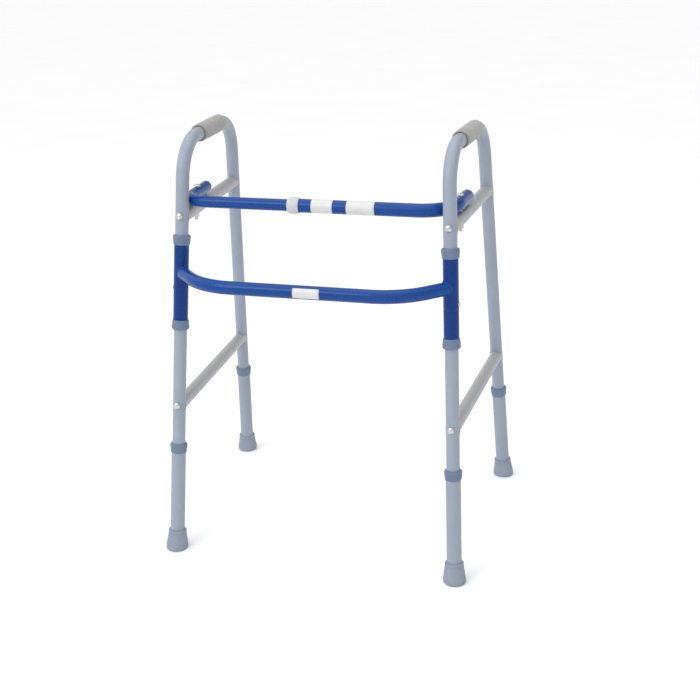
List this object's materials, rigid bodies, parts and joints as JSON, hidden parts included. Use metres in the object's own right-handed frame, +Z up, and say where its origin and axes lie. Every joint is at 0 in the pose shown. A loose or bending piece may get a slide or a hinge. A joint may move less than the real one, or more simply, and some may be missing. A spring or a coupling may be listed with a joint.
{
  "type": "folding walking frame",
  "caption": "Folding walking frame with bent-tube side frames, hand grips, bowed front bars, height-adjustable legs and rubber feet.",
  "frame": {"origin": "on the floor, at the centre of the rectangle that encloses the frame in plan", "axes": "+Z up; +X across the frame towards the user's right; +Y from the front legs to the rear legs, towards the user"},
  "size_m": [0.6596, 0.5186, 0.8248],
  "materials": {
    "side_tube": "satin powder coat",
    "front_bar": "gloss blue powder coat",
    "sleeve": "gloss blue powder coat",
    "leg_extension": "satin powder coat",
    "brace": "satin silver",
    "collar": "slate grey moulded plastic",
    "lock_collar": "light grey moulded plastic",
    "end_cap": "blue moulded plastic",
    "grip": "fine-textured grey foam",
    "foot": "matt grey rubber",
    "fastener": "bright zinc plate",
    "snap_clip": "bright spring steel"
  },
  "bodies": {
    "front_frame": {"lower_front_bar": "front_bar", "left_sleeve": "sleeve", "left_sleeve_upper_collar": "collar", "left_sleeve_lower_collar": "collar", "left_sleeve_screw": "fastener", "right_sleeve": "sleeve", "right_sleeve_upper_collar": "collar", "right_sleeve_lower_collar": "collar", "right_sleeve_screw": "fastener"},
    "left_side_frame": {"left_side_tube": "side_tube", "left_hand_grip": "grip", "left_upper_brace": "brace", "left_lower_brace": "brace", "left_brace_bolts": "fastener", "left_hinge_nut": "fastener", "left_hinge_stud": "fastener"},
    "right_side_frame": {"right_side_tube": "side_tube", "right_hand_grip": "grip", "right_upper_brace": "brace", "right_lower_brace": "brace", "right_brace_bolts": "fastener", "right_hinge_nut": "fastener", "right_hinge_bolt": "fastener"},
    "upper_bar_outer": {"upper_bar_outer_tube": "front_bar", "upper_bar_outer_end_cap": "end_cap"},
    "upper_bar_inner": {"upper_bar_inner_tube": "front_bar", "upper_bar_inner_end_cap": "end_cap", "left_hinge_bolt": "fastener"},
    "lock_collar": {"upper_bar_lock_collar": "lock_collar"},
    "left_front_leg": {"left_front_leg_extension": "leg_extension", "left_front_leg_collar": "collar", "left_front_foot": "foot"},
    "left_front_button": {"left_front_snap_clip": "snap_clip"},
    "left_rear_leg": {"left_rear_leg_extension": "leg_extension", "left_rear_leg_collar": "collar", "left_rear_foot": "foot"},
    "left_rear_button": {"left_rear_snap_clip": "snap_clip"},
    "right_front_leg": {"right_front_leg_extension": "leg_extension", "right_front_leg_collar": "collar", "right_front_foot": "foot"},
    "right_front_button": {"right_front_snap_clip": "snap_clip"},
    "right_rear_leg": {"right_rear_leg_extension": "leg_extension", "right_rear_leg_collar": "collar", "right_rear_foot": "foot"},
    "right_rear_button": {"right_rear_snap_clip": "snap_clip"}
  },
  "joints": [
    {"name": "right_fold", "type": "hinge", "parent": "front_frame", "child": "right_side_frame", "pos_m": [0.26239, -0.16996, 0.54531], "axis": [-0.0419, 0.1233, 0.9915], "range_deg": [0, 90]},
    {"name": "left_fold", "type": "hinge", "parent": "front_frame", "child": "left_side_frame", "pos_m": [-0.26239, -0.16996, 0.54531], "axis": [-0.0419, -0.1233, -0.9915], "range_deg": [0, 51.4]},
    {"name": "outer_bar_swivel", "type": "hinge", "parent": "right_side_frame", "child": "upper_bar_outer", "pos_m": [0.25986, -0.0707, 0.6961], "axis": [0.0419, -0.1233, -0.9915], "range_deg": [0, 97.6]},
    {"name": "inner_bar_slide", "type": "slide", "parent": "upper_bar_outer", "child": "upper_bar_inner", "axis": [1, 0, 0], "range_m": [0, 0.1451]},
    {"name": "lock_collar_twist", "type": "hinge", "parent": "upper_bar_outer", "child": "lock_collar", "pos_m": [-0.0385, -0.1424, 0.6961], "axis": [1, 0, 0], "range_deg": [0, 90]},
    {"name": "left_front_leg_height", "type": "slide", "parent": "left_side_frame", "child": "left_front_leg", "axis": [-0.0419, -0.1233, -0.9915], "range_m": [0, 0.1]},
    {"name": "left_front_button_press", "type": "slide", "parent": "left_front_leg", "child": "left_front_button", "axis": [0.0531, -0.9912, 0.121], "range_m": [0, 0.003], "stiffness_N_per_m": 800, "springref_m": -0.002},
    {"name": "left_rear_leg_height", "type": "slide", "parent": "left_side_frame", "child": "left_rear_leg", "axis": [-0.0535, 0.1188, -0.9915], "range_m": [0, 0.1]},
    {"name": "left_rear_button_press", "type": "slide", "parent": "left_rear_leg", "child": "left_rear_button", "axis": [0.0415, -0.9918, -0.121], "range_m": [0, 0.003], "stiffness_N_per_m": 800, "springref_m": -0.002},
    {"name": "right_front_leg_height", "type": "slide", "parent": "right_side_frame", "child": "right_front_leg", "axis": [0.0419, -0.1233, -0.9915], "range_m": [0, 0.1]},
    {"name": "right_front_button_press", "type": "slide", "parent": "right_front_leg", "child": "right_front_button", "axis": [-0.0531, -0.9912, 0.121], "range_m": [0, 0.003], "stiffness_N_per_m": 800, "springref_m": -0.002},
    {"name": "right_rear_leg_height", "type": "slide", "parent": "right_side_frame", "child": "right_rear_leg", "axis": [0.0535, 0.1188, -0.9915], "range_m": [0, 0.1]},
    {"name": "right_rear_button_press", "type": "slide", "parent": "right_rear_leg", "child": "right_rear_button", "axis": [-0.0415, -0.9918, -0.121], "range_m": [0, 0.003], "stiffness_N_per_m": 800, "springref_m": -0.002}
  ],
  "couplings": [
    {"joint": "left_fold", "follows": "right_fold", "ratio": 0.57},
    {"joint": "outer_bar_swivel", "follows": "right_fold", "ratio": 1.0837},
    {"joint": "inner_bar_slide", "follows": "right_fold", "m_per_rad": 0.092131}
  ]
}
